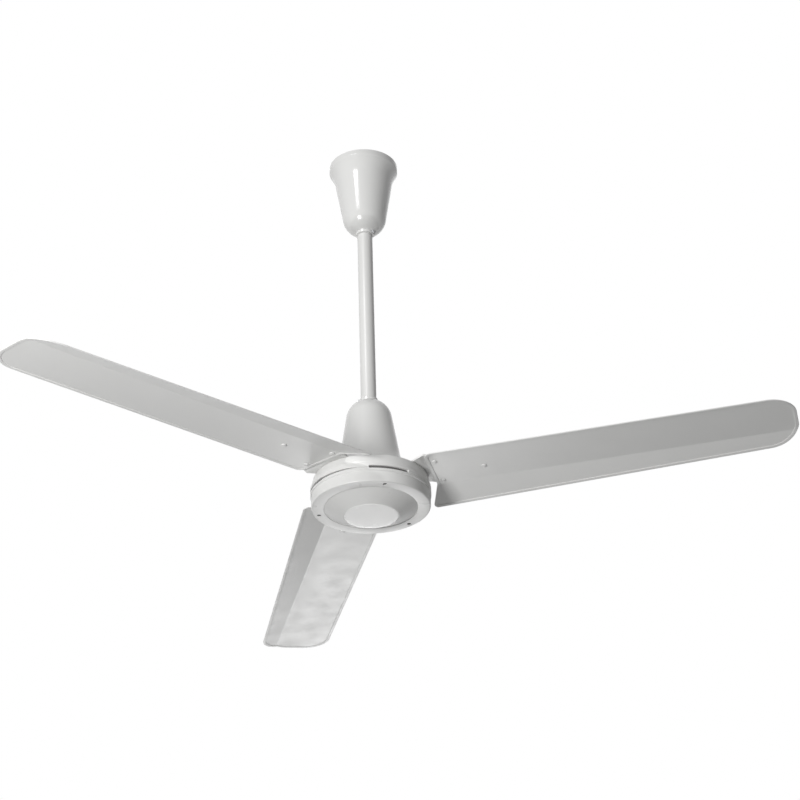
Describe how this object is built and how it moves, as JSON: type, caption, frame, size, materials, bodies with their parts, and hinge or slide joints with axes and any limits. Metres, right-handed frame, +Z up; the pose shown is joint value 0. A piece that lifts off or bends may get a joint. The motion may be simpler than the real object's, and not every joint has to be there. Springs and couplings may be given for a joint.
{
  "type": "ceiling fan",
  "caption": "Industrial ceiling fan with creased sheet-metal blades on arms, an outer-rotor motor, a down rod with bell covers, and a ceiling bracket with a rubber roller hanger.",
  "frame": {"origin": "centre of the ceiling bracket's top face, midway between its two screw holes", "axes": "+Z up towards the ceiling, X along the line of the bracket's two screw holes and the hanging pin"},
  "size_m": [1.2329, 1.2117, 0.7075],
  "materials": {
    "zinc_steel": "bright zinc plate",
    "bare_steel": "ground steel",
    "lamination": "varnished lamination edges",
    "dark_steel": "black oxide",
    "white_paint": "semi-gloss stoved enamel",
    "white_plastic": "gloss moulded",
    "grey_plastic": "satin moulded",
    "cream_plastic": "satin moulded",
    "black_rubber": "moulded rubber",
    "brass": "bright",
    "copper": "varnished enamelled wire",
    "aluminium": "as cast"
  },
  "bodies": {
    "ceiling_mount": {"ceiling_bracket": "zinc_steel", "hanging_pin": "zinc_steel", "hanging_nut": "zinc_steel", "hanging_split_pin": "zinc_steel", "rubber_roller": "black_rubber"},
    "stem": {"top_strap": "zinc_steel", "strap_bolt": "zinc_steel", "strap_nut": "zinc_steel", "strap_split_pin": "zinc_steel", "down_rod": "white_paint", "rod_socket": "zinc_steel", "rod_bolt": "zinc_steel", "rod_nut": "zinc_steel", "rod_split_pin": "zinc_steel", "socket_pin": "zinc_steel", "motor_shaft": "bare_steel", "wiring_plate": "zinc_steel", "shaft_nut": "zinc_steel", "capacitor": "grey_plastic", "capacitor_clip": "zinc_steel", "clip_screw": "zinc_steel", "terminal_block": "cream_plastic", "terminal_screws": "brass", "stator_core": "lamination", "stator_winding": "copper", "upper_bearing_inner": "bare_steel", "lower_bearing_inner": "bare_steel"},
    "upper_canopy": {"upper_cover": "white_plastic", "upper_set_screw": "zinc_steel"},
    "lower_canopy": {"lower_cover": "white_plastic", "lower_set_screw": "zinc_steel"},
    "rotor": {"motor_top_cover": "white_paint", "motor_bottom_cover": "white_paint", "centre_cap": "white_plastic", "ring_screws": "dark_steel", "rotor_core": "lamination", "rotor_cage": "aluminium", "upper_bearing_outer": "bare_steel", "upper_bearing_balls": "bare_steel", "lower_bearing_outer": "bare_steel", "lower_bearing_balls": "bare_steel", "blade_1": "white_paint", "blade_2": "white_paint", "blade_3": "white_paint", "blade_arm_1": "white_paint", "blade_arm_2": "white_paint", "blade_arm_3": "white_paint", "blade_rivets": "white_paint", "arm_screws": "zinc_steel"}
  },
  "joints": [
    {"name": "hanger_swing", "type": "hinge", "parent": "ceiling_mount", "child": "stem", "pos_m": [0, 0, -0.04], "axis": [1, 0, 0], "range_deg": [-1.4, 1.4]},
    {"name": "upper_cover_slide", "type": "slide", "parent": "stem", "child": "upper_canopy", "axis": [0, 0, -1], "range_m": [0, 0.16]},
    {"name": "lower_cover_slide", "type": "slide", "parent": "stem", "child": "lower_canopy", "axis": [0, 0, 1], "range_m": [0, 0.16]},
    {"name": "fan_spin", "type": "hinge", "parent": "stem", "child": "rotor", "pos_m": [0, 0, -0.64], "axis": [0, 0, 1], "continuous": true}
  ]
}
